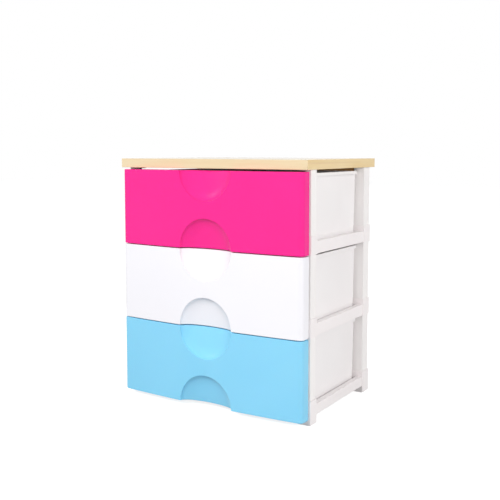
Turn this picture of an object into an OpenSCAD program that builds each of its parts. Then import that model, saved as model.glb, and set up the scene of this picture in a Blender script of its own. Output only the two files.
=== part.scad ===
// Wide drawer tower: three pull-out drawers with bowed fronts in an open plug-together frame,
// under a wood-faced top board.
// Millimetres, +Z up. The drawer fronts face -Y. The origin is on the floor, below the middle
// of the whole object. Inside this file y is counted from the front edge of the top board.

/* [Top board] */
// Width of the top board, side to side
board_w = 560; // [460:1:700]
// Depth of the top board, front to back
board_d = 392; // [320:1:480]
// Thickness of the top board
board_t = 23.5; // [16:0.5:32]
// Thickness of the bands glued round its edge
band_t = 1; // [0.5:0.1:3]
// Height of the batten under the back of the board
batten_h = 15; // [10:0.5:24]
// Depth of the batten, front to back
batten_d = 20; // [14:0.5:28]

/* [Tiers] */
// Height from one drawer to the next
tier_pitch = 199; // [165:1:245]
// Gap between the front of one drawer and the next
front_seam = 2.5; // [1.5:0.1:5]
// Gap between the top drawer front and the board
board_gap = 5; // [3:0.1:10]

/* [Frame] */
// How far the sleeves lie inside the sides of the board
frame_inset = 2.5; // [0:0.1:12]
// How far the frame stands back from the front edge of the board
frame_setback = 26.5; // [20:0.5:40]
// How far the board overhangs the frame at the back
rear_overhang = 20.5; // [0:0.5:40]
// Height of the corner sleeves that the posts plug into
sleeve_h = 46; // [36:1:60]
// Height of the feet below the lowest sleeves
foot_h = 13.5; // [8:0.5:40]
// Width of a foot, side to side
foot_w = 34.5; // [25:0.5:45]
// Wall of the sleeves
sleeve_wall = 2.2; // [1.6:0.1:3]
// Clearance round a post in its sleeve
post_fit = 0.3; // [0.1:0.05:0.6]
// Wall of the posts
post_wall = 2.2; // [1.6:0.1:3]
// Front post, side to side
front_post_w = 15.5; // [12:0.5:20]
// Front post, front to back
front_post_d = 28.5; // [22:0.5:36]
// Rear post, side to side
rear_post_w = 30; // [20:0.5:36]
// Rear post, front to back
rear_post_d = 34; // [26:0.5:44]
// Inward lip along the back edge of a rear post
rear_lip = 12; // [8:0.5:18]
// Depth of the shallow groove down the outside of each post
groove_depth = 0.6; // [0.3:0.1:1]
// Radius of the upright outer corners of the posts
post_r = 1.5; // [0.5:0.1:3]
// Height of the side and rear rails
rail_h = 30; // [24:1:34]
// Height of the rails of the base, which stand clear of the floor
base_rail_h = 26; // [20:1:30]
// Distance from the top of a rail to the top of its sleeves
rail_drop = 15; // [8:0.5:20]
// Wall of the rails and of the runner shelves
rail_wall = 2.2; // [1.6:0.1:3]
// Height of the cross rail behind the drawer fronts
cross_rail_h = 13; // [9:0.5:14]
// How far the runner shelf reaches in past the skid that slides on it
shelf_margin = 2; // [0.5:0.1:12]
// Top of the runner shelf above the underside of its ring
shelf_z = 17.5; // [15:0.5:20]
// Distance of the drawer stop behind the front sleeve
stop_setback = 2; // [1:0.5:60]
// Spacing of the stiffening ribs along the rails
rib_pitch = 34; // [20:1:60]
// Thickness of the stiffening ribs
rib_t = 1.8; // [1:0.1:3]

/* [Drawer front] */
// Outward bow of the front, side to side
bow = 10; // [4:0.5:25]
// How far the front lies inside the side of the board
front_inset = 8; // [4:0.5:14]
// Radius of the upright corners of the front
corner_r = 5.5; // [2:0.5:12]
// Wall of the front
front_wall = 2.6; // [1.8:0.1:3.2]
// Radius of the round pull recess that two fronts share
recess_r = 78; // [50:1:85]
// Depth of the recess at the seam
recess_deep = 27; // [24:0.5:40]
// Depth of the recess at its top and bottom
recess_shallow = 12; // [2:0.5:16]
// Draft of the wall round the recess, in degrees
recess_draft = 25; // [0:1:32]
// Radius of the dished floor of the recess
dish_r = 230; // [140:1:340]
// Room between the back of the recess and the drawer box
recess_gap = 9.6; // [0.6:0.5:14.1]

/* [Drawer box] */
// Wall of the drawer box
box_wall = 2.3; // [1.6:0.1:3.5]
// Running gap under the drawer, on the runner shelf
seat_gap = 0.3; // [0.2:0.05:1]
// Running gap on each side of the drawer rim
side_gap = 1.5; // [0.8:0.1:3]
// Gap between the drawer rim and the underside of the ring above
rim_clear = 7; // [3:0.5:20]
// Outward width of the rolled rim
rim_w = 4.5; // [3:0.5:8]
// Height of the rolled rim
rim_h = 8; // [4:0.5:14]
// How much narrower the box is at the bottom than at the rim, each side
box_draft = 2.5; // [2:0.5:12]
// Radius of the rear corners of the box
box_r = 6; // [4:1:30]
// Height of the skids under the drawer floor
skid_h = 3; // [2:0.5:5]

/* [Screws] */
// Diameter of the screws that hold the board
screw_d = 4; // [3:0.1:5]
// Diameter of their heads
screw_head_d = 8; // [6:0.1:10]
// Length of a screw inside the board
screw_bite = 12; // [8:0.5:14]

/* [Hidden] */
$fn = 64;

// Tiers are counted from the floor: 0 bottom, 1 middle, 2 top
BOTTOM = 0;
MIDDLE = 1;
TOP = 2;
LEFT = -1;
RIGHT = 1;
function tier_z(tier) = foot_h + tier * tier_pitch;

// Heights of the stack
front_h = tier_pitch - front_seam;
board_z = tier_z(TOP) + front_h + board_gap;

// Depths, from the frame forward: the box plate, the recess before it, and the face
return_gap = 1.5;
plate_proud = 0.5;
frame_front_y = frame_setback;
return_y = frame_front_y - return_gap;
plate_y = return_y + plate_proud - box_wall;
face_y = plate_y - recess_gap - front_wall - recess_deep;

// Frame planes
sleeve_x = board_w / 2 - frame_inset;
post_x = sleeve_x - sleeve_wall - post_fit;
frame_rear_y = board_d - rear_overhang;
front_post_y = frame_front_y + sleeve_wall + post_fit;
rear_post_y = frame_rear_y - sleeve_wall - post_fit - rear_post_d;
front_sleeve_rear_y = front_post_y + front_post_d + post_fit + sleeve_wall;
rear_sleeve_front_y = rear_post_y - post_fit - sleeve_wall;
front_sleeve_inner_x = post_x - front_post_w - post_fit - sleeve_wall;
rear_sleeve_inner_x = post_x - rear_post_w - post_fit - sleeve_wall;
web_t = 2.4;
socket_depth = (sleeve_h - web_t) / 2;
end_gap = 0.3;

// Drawer front
front_x = board_w / 2 - front_inset;
bow_r = (pow(front_x - corner_r, 2) + bow * bow) / (2 * bow);
seam_z = front_seam / 2;
dish_tilt = atan((recess_deep - recess_shallow) / recess_r);
function face_at(x) = face_y + bow_r - sqrt(bow_r * bow_r - x * x);

// Drawer box
plate_gap = 0.4;
rear_gap = 1;
plate_x = front_x - front_wall - plate_gap;
box_z = shelf_z + seat_gap;
floor_z = box_z + skid_h;
rim_z = tier_pitch - rim_clear;
rim_x = post_x - front_post_w - side_gap;
rim_rear_y = rear_sleeve_front_y - rear_gap;
box_x = rim_x - rim_w;
box_rear_y = rim_rear_y - rim_w;
bottom_x = box_x - box_draft;
bottom_rear_y = box_rear_y - box_draft;
rim_t = 2;
skid_w = 8;
skid_inset = 1.5;

// Rails, and the runner shelf below the skids
rail_flange = 3.5;
shelf_inner_x = bottom_x - skid_inset - skid_w - shelf_margin;
guide_gap = 0.2;
guide_x = front_sleeve_inner_x - guide_gap;
guide_t = rail_wall;
guide_h = 10;

// Drawer stop on the rail, and the lug on the box that meets it
stop_t = 4;
stop_side_gap = 1.5;
stop_x = bottom_x + stop_side_gap;
stop_y = front_sleeve_rear_y + stop_setback;
lug_l = 6;
lug_h = 7;
lug_lift = 1.7;
lug_x = guide_x - 1;
lug_y = bottom_rear_y - box_r - lug_l - 0.5;

// Snap hooks that hold a front to its box
hook_w = 14;
hook_t = 2.2;
hook_catch = 1.5;
hook_reach = 3.5;
hook_fit = 0.5;
hook_inset = 57;
hook_edge = 45;
hook_outer_x = front_x - hook_inset;
hook_inner_x = recess_r + 2 * hook_w;
hook_xs = [-hook_outer_x, -hook_inner_x, hook_inner_x, hook_outer_x];
hook_zs = [hook_edge, front_h - hook_edge];

// Board fixing
tab_t = 3;
tab_reach = 16;
screw_fit = 0.3;
pilot_fit = 0.05;
head_h = 2.5;
front_screw_x = post_x - front_post_w - tab_reach / 2;
front_screw_y = front_post_y + front_post_d / 2;
rear_screw_x = post_x - rear_post_w / 2;
rear_screw_y = rear_post_y + rear_post_d / 2;
front_screw = [front_screw_x, front_screw_y];
rear_screw = [rear_screw_x, rear_screw_y];
batten_gap = 0.5;
batten_bevel = 1.5;
batten_x = post_x - rear_post_w - batten_gap;
batten_screw = [batten_x / 2, rear_screw_y];

// Colours
wood = [0.96, 0.87, 0.73];
raw_wood = [0.72, 0.56, 0.38];
frame_white = [0.94, 0.93, 0.93];
box_white = [0.9, 0.89, 0.9];
steel = [0.75, 0.75, 0.77];
front_colours = ["skyblue", "white", "deeppink"];

// Puts a piece whose y is counted from the board's front edge into the object's own frame
module in_place(z = 0) translate([0, -(face_y + board_d) / 2, z]) children();

// Makes the right-hand piece, or its mirror image for the left
module on_side(side) {
    if (side == RIGHT) children();
    else mirror([1, 0, 0]) children();
}

// A box between two corners
module block(low, high) translate(low) cube(high - low);

// Plan of a right-hand piece between two corners, with its two outer corners rounded
module rounded_plan(low, high, r) {
    size = high - low;
    translate(low) square([size[0] - r, size[1]]);
    translate([low[0], low[1] + r]) square([size[0], size[1] - 2 * r]);
    for (y = [low[1] + r, high[1] - r]) translate([high[0] - r, y]) circle(r = r, $fn = 24);
}

// ---- Top board ----

// Core board with a pilot hole for each of its screws
module top_board() {
    color(wood) in_place(board_z)
        difference() {
            block([-board_w / 2 + band_t, band_t, 0], [board_w / 2 - band_t, board_d - band_t, board_t]);
            for (side = [LEFT, RIGHT], at = [front_screw, rear_screw, batten_screw])
                translate([side * at[0], at[1], -1])
                    cylinder(d = screw_d + 2 * pilot_fit, h = screw_bite + 2);
        }
}

// Band along the front or the back edge, full width
module long_band(y) {
    color(wood) in_place(board_z)
        block([-board_w / 2, y, 0], [board_w / 2, y + band_t, board_t]);
}

// Band along a side edge, between the long ones
module side_band(side) {
    color(wood) in_place(board_z) on_side(side)
        block([board_w / 2 - band_t, band_t, 0], [board_w / 2, board_d - band_t, board_t]);
}

// Raw wood batten under the back of the board, between the rear posts, with bevelled lower
// edges and a hole for each of its two screws
module rear_batten() {
    half = batten_d / 2;
    color(raw_wood) in_place(board_z - batten_h) translate([0, rear_screw_y, 0]) difference() {
        translate([-batten_x, 0, 0]) rotate([90, 0, 90]) linear_extrude(2 * batten_x)
            polygon([[-half + batten_bevel, 0], [half - batten_bevel, 0], [half, batten_bevel],
                     [half, batten_h], [-half, batten_h], [-half, batten_bevel]]);
        for (side = [LEFT, RIGHT]) translate([side * batten_screw[0], 0, -1])
            cylinder(d = screw_d + 2 * screw_fit, h = batten_h + 2);
    }
}

// Pan-head screw, standing up into the board through a post tab or the batten
module board_screw(clamped) {
    shank = clamped + screw_bite;
    tip = screw_d / 2;
    cylinder(d = screw_d, h = shank - tip);
    translate([0, 0, shank - tip]) cylinder(d1 = screw_d, d2 = 1, h = tip);
    translate([0, 0, -head_h / 2]) cylinder(d = screw_head_d, h = head_h / 2);
    translate([0, 0, -head_h]) cylinder(d1 = screw_head_d * 0.7, d2 = screw_head_d, h = head_h / 2);
}

module board_screws() {
    color(steel) in_place(board_z) for (side = [LEFT, RIGHT]) {
        for (at = [front_screw, rear_screw])
            translate([side * at[0], at[1], -tab_t]) board_screw(tab_t);
        translate([side * batten_screw[0], batten_screw[1], -batten_h]) board_screw(batten_h);
    }
}

// ---- Posts ----

// Section of a post: a channel open to the inside of the frame, with rounded outer corners and
// a groove down its outside. x = 0 is its outer face, and y = 0 its front face.
module post_section(front_leg, rear_leg, depth) {
    land = depth / 4;
    difference() {
        intersection() {
            polygon([[0, 0], [0, depth], [-rear_leg, depth], [-rear_leg, depth - post_wall],
                     [-post_wall, depth - post_wall], [-post_wall, post_wall],
                     [-front_leg, post_wall], [-front_leg, 0]]);
            rounded_plan([-max(front_leg, rear_leg) - 1, 0], [0, depth], post_r);
        }
        translate([-groove_depth, land]) square([groove_depth + 1, depth - 2 * land]);
    }
}

// A post with ribs across its channel. The topmost ones end in a tab under the board.
module post(front_leg, rear_leg, depth, tier, tab_x, screw) {
    z0 = tier_z(tier) + sleeve_h - socket_depth + end_gap;
    z1 = tier == TOP ? board_z : tier_z(tier + 1) + socket_depth - end_gap;
    rib_reach = min(front_leg, rear_leg) - 1;
    ribs = 4;
    difference() {
        union() {
            translate([0, 0, z0]) linear_extrude(z1 - z0) post_section(front_leg, rear_leg, depth);
            for (i = [1:ribs])
                translate([-rib_reach, post_wall / 2, z0 + (z1 - z0) * i / (ribs + 1)])
                    cube([rib_reach - post_wall / 2, depth - post_wall, rib_t]);
            if (tier == TOP)
                block([tab_x - post_x, 0, z1 - tab_t], [-post_wall / 2, depth, z1]);
        }
        if (tier == TOP)
            translate([screw[0], screw[1], z1 - tab_t - 1])
                cylinder(d = screw_d + 2 * screw_fit, h = tab_t + 2);
    }
}

module front_post(side, tier) {
    tab_x = post_x - front_post_w - tab_reach;
    color(frame_white) in_place() on_side(side)
        translate([post_x, front_post_y, 0])
            post(front_post_w, front_post_w, front_post_d, tier, tab_x,
                 [front_screw_x - post_x, front_screw_y - front_post_y]);
}

module rear_post(side, tier) {
    tab_x = post_x - rear_post_w;
    color(frame_white) in_place() on_side(side)
        translate([post_x, rear_post_y, 0])
            post(rear_post_w, rear_lip, rear_post_d, tier, tab_x,
                 [rear_screw_x - post_x, rear_screw_y - rear_post_y]);
}

// ---- Rings of the frame ----

// Corner sleeve with a socket for the post above and one for the post below, and the web
// between them. The sleeve of the base has no lower socket and runs down as a hollow foot.
module sleeve(post_w, post_d, post_y, foot) {
    grow = post_fit + sleeve_wall;
    inside = [post_x - post_w - post_fit, post_y - post_fit];
    outside = [post_x + post_fit, post_y + post_d + post_fit];
    low = foot ? -foot_h : 0;
    difference() {
        translate([0, 0, low]) linear_extrude(sleeve_h - low)
            rounded_plan([post_x - post_w - grow, post_y - grow],
                         [post_x + grow, post_y + post_d + grow], grow);
        block([inside[0], inside[1], sleeve_h - socket_depth], [outside[0], outside[1], sleeve_h + 1]);
        block([inside[0], inside[1], low - 1], [outside[0], outside[1], socket_depth]);
    }
    // Cross ribs that stiffen the hollow foot
    if (foot) {
        block([inside[0] - 0.1, post_y + post_d / 2 - rib_t / 2, low],
              [outside[0] + 0.1, post_y + post_d / 2 + rib_t / 2, socket_depth]);
        block([post_x - post_w / 2 - rib_t / 2, inside[1] - 0.1, low],
              [post_x - post_w / 2 + rib_t / 2, outside[1] + 0.1, socket_depth]);
    }
}

// Inner part of a front foot, open underneath
module front_foot() {
    low_x = sleeve_x - foot_w;
    difference() {
        block([low_x, frame_front_y, -foot_h],
              [front_sleeve_inner_x + sleeve_wall / 2, front_sleeve_rear_y, cross_rail_h]);
        block([low_x + sleeve_wall, frame_front_y + sleeve_wall, -foot_h - 1],
              [front_sleeve_inner_x, front_sleeve_rear_y - sleeve_wall, cross_rail_h - rail_wall]);
    }
}

// Gusset under the runner shelf, one rib thick
module shelf_gusset(low) {
    rotate([90, 0, 0]) translate([0, 0, -rib_t / 2]) linear_extrude(rib_t)
        polygon([[post_x - rail_wall / 2, low + 1], [post_x - rail_wall / 2, shelf_z - rail_wall / 2],
                 [shelf_inner_x + 2, shelf_z - rail_wall / 2], [shelf_inner_x + 2, shelf_z - 4],
                 [post_x - rail_wall - 3, low + 1]]);
}

// Side rail, with the shelf that a drawer slides on, its guide rib and its front stop
module side_rail(height) {
    top = sleeve_h - rail_drop;
    low = top - height;
    front_y = front_sleeve_rear_y - sleeve_wall / 2;
    rear_y = rear_sleeve_front_y + sleeve_wall / 2;
    run = rear_sleeve_front_y - front_sleeve_rear_y;
    ribs = floor(run / rib_pitch);
    block([post_x - rail_wall, front_y, low], [post_x, rear_y, top]);
    block([post_x - rail_wall - rail_flange, front_y, top - rail_wall], [post_x - 0.5, rear_y, top]);
    block([shelf_inner_x, front_y, shelf_z - rail_wall], [post_x - 0.5, rear_y, shelf_z]);
    block([shelf_inner_x, front_post_y, shelf_z - rail_wall],
          [front_sleeve_inner_x + sleeve_wall / 2, front_y + 1, shelf_z]);
    block([shelf_inner_x, front_post_y, cross_rail_h - 1],
          [front_sleeve_inner_x + sleeve_wall / 2, front_post_y + rail_wall, shelf_z]);
    block([guide_x, front_y, shelf_z - 1], [guide_x + guide_t, rear_y, shelf_z + guide_h]);
    block([stop_x, stop_y, shelf_z - 1], [guide_x + 1, stop_y + stop_t, shelf_z + guide_h]);
    for (i = [1:ribs])
        translate([0, front_sleeve_rear_y + run * i / (ribs + 1), 0]) shelf_gusset(low);
}

// Cross rail behind the drawer fronts: a channel open underneath, with ribs
module front_rail() {
    reach = front_sleeve_inner_x + sleeve_wall / 2;
    rear_y = front_post_y + front_post_d;
    ribs = floor(2 * reach / (2 * rib_pitch));
    difference() {
        block([-reach, front_post_y, 0], [reach, rear_y, cross_rail_h]);
        block([-reach - 1, front_post_y + rail_wall, -1],
              [reach + 1, rear_y - rail_wall, cross_rail_h - rail_wall]);
    }
    for (i = [1:ribs - 1])
        translate([-reach + 2 * reach * i / ribs - rib_t / 2, front_post_y + 1, 0])
            cube([rib_t, front_post_d - 2, cross_rail_h - 1]);
}

// Rail across the back: upright plate with a top flange and a ribbed inner shelf
module rear_rail(height) {
    top = sleeve_h - rail_drop;
    low = top - height;
    back_y = frame_rear_y - sleeve_wall - post_fit;
    reach = rear_sleeve_inner_x + sleeve_wall / 2;
    shelf_d = rear_post_d * 0.6;
    ribs = floor(2 * reach / (2 * rib_pitch));
    block([-reach, back_y - rail_wall, low], [reach, back_y, top]);
    block([-reach, back_y - rail_wall - rail_flange, top - rail_wall], [reach, back_y - 0.5, top]);
    block([-reach, back_y - shelf_d, shelf_z - rail_wall], [reach, back_y - 0.5, shelf_z]);
    for (i = [1:ribs - 1])
        translate([-reach + 2 * reach * i / ribs + rib_t / 2, 0, 0]) rotate([0, -90, 0])
            linear_extrude(rib_t)
                polygon([[low + 1, back_y - 1], [low + 1, back_y - rail_wall - 3],
                         [shelf_z - 4, back_y - shelf_d + 2], [shelf_z - 1, back_y - shelf_d + 2],
                         [shelf_z - 1, back_y - 1]]);
}

// A whole ring: four sleeves, two side rails, the cross rail and the rear rail
module ring(tier) {
    foot = tier == BOTTOM;
    height = foot ? base_rail_h : rail_h;
    color(frame_white) in_place(tier_z(tier)) {
        for (side = [LEFT, RIGHT]) on_side(side) {
            sleeve(front_post_w, front_post_d, front_post_y, foot);
            sleeve(rear_post_w, rear_post_d, rear_post_y, foot);
            side_rail(height);
            if (foot) front_foot();
        }
        front_rail();
        rear_rail(height);
    }
}

// ---- Drawer fronts ----

// Outline of a front from above, drawn in by a given wall: a long outward bow that runs
// into the rounded corners without a crease
module front_outline(wall) {
    x = front_x - wall;
    r = corner_r - wall;
    big = bow_r - wall;
    centre_y = face_y + bow_r;
    corner_y = centre_y - sqrt(pow(big - r, 2) - pow(x - r, 2));
    tangent_x = (x - r) * big / (big - r);
    intersection() {
        translate([0, centre_y]) circle(r = big, $fn = 360);
        translate([-tangent_x, face_y]) square([2 * tangent_x, corner_y - face_y + 1]);
    }
    for (side = [LEFT, RIGHT]) translate([side * (x - r), corner_y]) circle(r = r);
    translate([-x, corner_y]) square([2 * x, return_y - corner_y]);
}

// Half-round space of the pull recess, centred on the seam at z = 0, with a drafted wall and
// a dished floor that is deepest at the seam. A wall makes it the outside of the recess.
module recess_space(wall) {
    floor_y = face_y + recess_deep;
    axis_y = floor_y + wall - dish_r / cos(dish_tilt);
    length = 4 * recess_r;
    ahead = 5;
    behind = recess_deep + 15;
    rim_r = recess_r + wall / cos(recess_draft);
    intersection() {
        translate([0, face_y - ahead, 0]) rotate([-90, 0, 0])
            cylinder(r1 = rim_r + ahead * tan(recess_draft),
                     r2 = rim_r - behind * tan(recess_draft), h = ahead + behind, $fn = 96);
        translate([0, axis_y, 0]) rotate([dish_tilt, 0, 0]) translate([0, 0, -length / 2])
            cylinder(r = dish_r, h = length, $fn = 180);
    }
}

// The recess at the bottom edge and, turned over, the one at the top edge
module both_recesses(wall) {
    translate([0, 0, -seam_z]) recess_space(wall);
    translate([0, 0, front_h + seam_z]) mirror([0, 0, 1]) recess_space(wall);
}

// Snap hook, from the inside of the face through a slot in the front wall of the box
module snap_hook(x, z) {
    wall_rear = plate_y + box_wall;
    root_y = face_at(abs(x)) + front_wall / 2;
    translate([x - hook_w / 2, root_y, z - hook_t / 2])
        cube([hook_w, wall_rear + hook_reach - root_y, hook_t]);
    translate([x - hook_w / 2, wall_rear + 0.2, z + hook_t / 2 - 0.1]) rotate([90, 0, 90])
        linear_extrude(hook_w)
            polygon([[0, 0], [0, hook_catch], [hook_reach - 0.2, 0]]);
}

module drawer_front(tier) {
    color(front_colours[tier]) in_place(tier_z(tier)) {
        difference() {
            linear_extrude(front_h) front_outline(0);
            both_recesses(0);
            difference() {
                translate([0, 0, front_wall]) linear_extrude(front_h - 2 * front_wall)
                    front_outline(front_wall);
                both_recesses(front_wall);
            }
            block([-front_x + front_wall, return_y - 1, front_wall],
                  [front_x - front_wall, return_y + 1, front_h - front_wall]);
        }
        for (x = hook_xs, z = hook_zs) snap_hook(x, z);
    }
}

// ---- Drawer boxes ----

// Outline of the box at one height: square at the front, rounded at the rear
module box_outline(half, rear_y, r) {
    translate([-half, plate_y]) square([2 * half, rear_y - r - plate_y]);
    translate([-half + r, plate_y]) square([2 * (half - r), rear_y - plate_y]);
    for (side = [LEFT, RIGHT]) translate([side * (half - r), rear_y - r]) circle(r = r, $fn = 32);
}

// Body that leans in towards the bottom, drawn in by a given wall
module drafted_body(wall, z0, z1) {
    slice = 0.01;
    slope = box_draft / (rim_z - box_z);
    hull() {
        for (z = [z0, z1 - slice])
            translate([0, 0, z]) linear_extrude(slice)
                box_outline(box_x - wall - (rim_z - z) * slope,
                            box_rear_y - wall - (rim_z - z) * slope, box_r - wall);
    }
}

// Rolled rim: a flat lip and the skirt that turns down from it
module box_rim() {
    skirt_r = box_r + rim_w;
    translate([0, 0, rim_z - rim_t]) linear_extrude(rim_t) difference() {
        box_outline(rim_x, rim_rear_y, skirt_r);
        translate([0, -1]) box_outline(box_x - box_wall / 2, box_rear_y - box_wall / 2, box_r);
        translate([-box_x + box_wall, 0]) square([2 * (box_x - box_wall), plate_y + box_r]);
    }
    translate([0, 0, rim_z - rim_h]) linear_extrude(rim_h - rim_t / 2) difference() {
        box_outline(rim_x, rim_rear_y, skirt_r);
        translate([0, -1]) box_outline(rim_x - rim_t, rim_rear_y - rim_t + 1, skirt_r - rim_t);
    }
}

module drawer_box(tier) {
    plate_low = front_wall + plate_gap;
    plate_rear = plate_y + box_wall;
    side_y = plate_y + 4;
    cross_ribs = 5;
    color(box_white) in_place(tier_z(tier)) difference() {
        union() {
            difference() {
                drafted_body(0, floor_z, rim_z);
                intersection() {
                    drafted_body(box_wall, floor_z + box_wall, rim_z + 1);
                    block([-board_w, plate_rear, 0], [board_w, board_d, 2 * tier_pitch]);
                }
            }
            block([-plate_x, plate_y, plate_low], [plate_x, plate_rear, front_h - plate_low]);
            box_rim();
            // Skids, the ribs between them, and the stop lugs at the back
            for (side = [LEFT, RIGHT]) on_side(side) {
                block([bottom_x - skid_inset - skid_w, side_y, box_z],
                      [bottom_x - skid_inset, bottom_rear_y - box_r, floor_z + 1]);
                block([bottom_x - skid_inset - 0.5, lug_y, box_z + lug_lift],
                      [lug_x, lug_y + lug_l, box_z + lug_lift + lug_h]);
            }
            for (i = [1:cross_ribs])
                translate([0, side_y + (bottom_rear_y - box_r - side_y) * i / (cross_ribs + 1), 0])
                    block([-bottom_x + 3, -rib_t / 2, box_z + 0.5], [bottom_x - 3, rib_t / 2, floor_z + 1]);
        }
        for (x = hook_xs, z = hook_zs)
            block([x - hook_w / 2 - hook_fit, plate_y - 1, z - hook_t / 2 - hook_fit],
                  [x + hook_w / 2 + hook_fit, plate_rear + 1, z + hook_t / 2 + hook_catch + hook_fit]);
    }
}

top_board();
long_band(0);  // edge_band_front
long_band(board_d - band_t);  // edge_band_rear
side_band(LEFT);  // edge_band_left
side_band(RIGHT);  // edge_band_right
rear_batten();
board_screws();
ring(TOP);  // upper_ring
ring(MIDDLE);  // lower_ring
ring(BOTTOM);  // base_frame
front_post(LEFT, TOP);  // post_top_front_left
front_post(RIGHT, TOP);  // post_top_front_right
rear_post(LEFT, TOP);  // post_top_rear_left
rear_post(RIGHT, TOP);  // post_top_rear_right
front_post(LEFT, MIDDLE);  // post_middle_front_left
front_post(RIGHT, MIDDLE);  // post_middle_front_right
rear_post(LEFT, MIDDLE);  // post_middle_rear_left
rear_post(RIGHT, MIDDLE);  // post_middle_rear_right
front_post(LEFT, BOTTOM);  // post_bottom_front_left
front_post(RIGHT, BOTTOM);  // post_bottom_front_right
rear_post(LEFT, BOTTOM);  // post_bottom_rear_left
rear_post(RIGHT, BOTTOM);  // post_bottom_rear_right
drawer_box(TOP);  // drawer_box_top
drawer_box(MIDDLE);  // drawer_box_middle
drawer_box(BOTTOM);  // drawer_box_bottom
drawer_front(TOP);  // drawer_front_top
drawer_front(MIDDLE);  // drawer_front_middle
drawer_front(BOTTOM);  // drawer_front_bottom
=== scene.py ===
from math import atan, cos, radians, sqrt, tan

import bmesh
import bpy
from mathutils import Matrix, Vector


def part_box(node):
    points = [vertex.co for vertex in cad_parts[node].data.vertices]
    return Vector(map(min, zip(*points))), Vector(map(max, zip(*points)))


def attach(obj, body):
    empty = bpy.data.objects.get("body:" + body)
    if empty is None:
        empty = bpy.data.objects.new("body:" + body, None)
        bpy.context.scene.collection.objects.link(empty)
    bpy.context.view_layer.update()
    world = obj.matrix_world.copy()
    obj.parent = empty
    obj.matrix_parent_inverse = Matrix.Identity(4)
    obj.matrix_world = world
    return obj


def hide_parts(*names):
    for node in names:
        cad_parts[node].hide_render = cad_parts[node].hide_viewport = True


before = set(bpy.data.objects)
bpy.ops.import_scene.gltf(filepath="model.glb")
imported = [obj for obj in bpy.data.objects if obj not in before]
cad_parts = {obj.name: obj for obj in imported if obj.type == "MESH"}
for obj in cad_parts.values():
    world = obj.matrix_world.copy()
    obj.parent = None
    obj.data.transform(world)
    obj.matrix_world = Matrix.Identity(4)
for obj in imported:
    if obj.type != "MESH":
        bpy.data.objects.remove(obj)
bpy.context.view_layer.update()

# ---- Base and rings ----
# The chest stands on a base and two rings, each moulded in one shot from white polypropylene:
# four corner sleeves that the posts plug into, side rails with the runner shelves, a cross rail
# behind the drawer fronts and a rail across the back. Ribs under the shelves keep them stiff.
MM = 0.001
FRONT_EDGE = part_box("edge_band_front")[0].y / MM
RING_Z = {"base_frame": 13.5, "lower_ring": 212.5, "upper_ring": 411.5}
FOOT_H = 13.5
SLEEVE_H = 46.0
SLEEVE_WALL = 2.2
SOCKET = 21.8
SLEEVE_CORNER_R = 2.0
SLEEVE_RIM_R = 0.7
FRONT_SLEEVE = ((257.0, 26.5), (277.5, 60.0))
REAR_SLEEVE = ((242.5, 332.5), (277.5, 371.5))
FRONT_FOOT_X = 243.0
FOOT_CORNER_R = 1.2
RAIL_X = 275.0
RAIL_Y = (58.9, 333.6)
RAIL_TOP = 31.0
RAIL_LOW = {"base_frame": 5.0, "lower_ring": 1.0, "upper_ring": 1.0}
RAIL_WALL = 2.2
RAIL_EDGE_R = 0.6
LEDGE_X = 260.0
LEDGE_EDGE_R = 0.4
SHELF_Z = 17.5
SHELF_X = 239.5
SHELF_FRONT = 29.0
SHELF_LIP_Z = 12.0
GUIDE_X = (256.8, 259.0)
STOP_X = (252.5, 257.8)
STOP_Y = (62.0, 66.0)
GUIDE_H = 10.0
CROSS_X = 258.1
CROSS_Y = (29.0, 57.5)
CROSS_H = 13.0
CROSS_RIBS = 6
REAR_X = 243.6
REAR_Y = 369.0
REAR_LEDGE_Y = 363.3
REAR_SHELF_Y = 348.6
REAR_RIBS = 6
REAR_RIB_FOOT_Y = 363.8
GUSSETS = 8
GUSSET_FOOT_X = 269.8
GUSSET_TIP_Z = 13.5
RIB = 1.8
OVERLAP = 0.5


def block(bm, low, high):
    """A box between two corners, in millimetres; gives back its vertices."""
    made = bmesh.ops.create_cube(bm, size=1)["verts"]
    bmesh.ops.scale(bm, vec=[b - a for a, b in zip(low, high)], verts=made)
    bmesh.ops.translate(bm, vec=[(a + b) / 2 for a, b in zip(low, high)], verts=made)
    return made


def edges_of(verts, *along):
    """Edges of these vertices that run along one of the named axes, or all of them."""
    inside = set(verts)
    found = list(dict.fromkeys(e for v in verts for e in v.link_edges if e.other_vert(v) in inside))
    if not along:
        return found
    axes = ["XYZ".index(name) for name in along]
    return [e for e in found
            if max(range(3), key=lambda i: abs(e.verts[0].co[i] - e.verts[1].co[i])) in axes]


def rounded(bm, edges, radius, segments=2):
    """Rounds these edges, as the mould does."""
    bmesh.ops.bevel(bm, geom=edges, offset=radius, offset_type="OFFSET", affect="EDGES",
                    segments=segments, profile=0.5, material=-1, clamp_overlap=True)


def soft_block(bm, low, high, radius=0.5, segments=2):
    """A box with all its edges rounded."""
    rounded(bm, edges_of(block(bm, low, high)), radius, segments)


def prism(bm, corners, thickness):
    """A flat plate from its corners, thickened along one vector."""
    face = bm.faces.new([bm.verts.new(c) for c in corners])
    made = bmesh.ops.extrude_face_region(bm, geom=[face])["geom"]
    moved = [v for v in made if isinstance(v, bmesh.types.BMVert)]
    bmesh.ops.translate(bm, vec=thickness, verts=moved)


def hollow_out(bm, height, wall, depth):
    """Sinks a socket into the level face at a height, with a wall left round it."""
    face = max((f for f in bm.faces if abs(f.calc_center_median().z - height) < 0.01),
               key=lambda f: f.calc_area())
    bmesh.ops.inset_region(bm, faces=[face], thickness=wall, use_even_offset=True)
    sunk = bmesh.ops.extrude_discrete_faces(bm, faces=[face])["faces"][0]
    bmesh.ops.translate(bm, vec=(0, 0, -depth), verts=sunk.verts)


def joined(target, bm):
    """Adds the shells of one bmesh to another."""
    mesh = bpy.data.meshes.new("part")
    bm.to_mesh(mesh)
    bm.free()
    target.from_mesh(mesh)
    bpy.data.meshes.remove(mesh)


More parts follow.
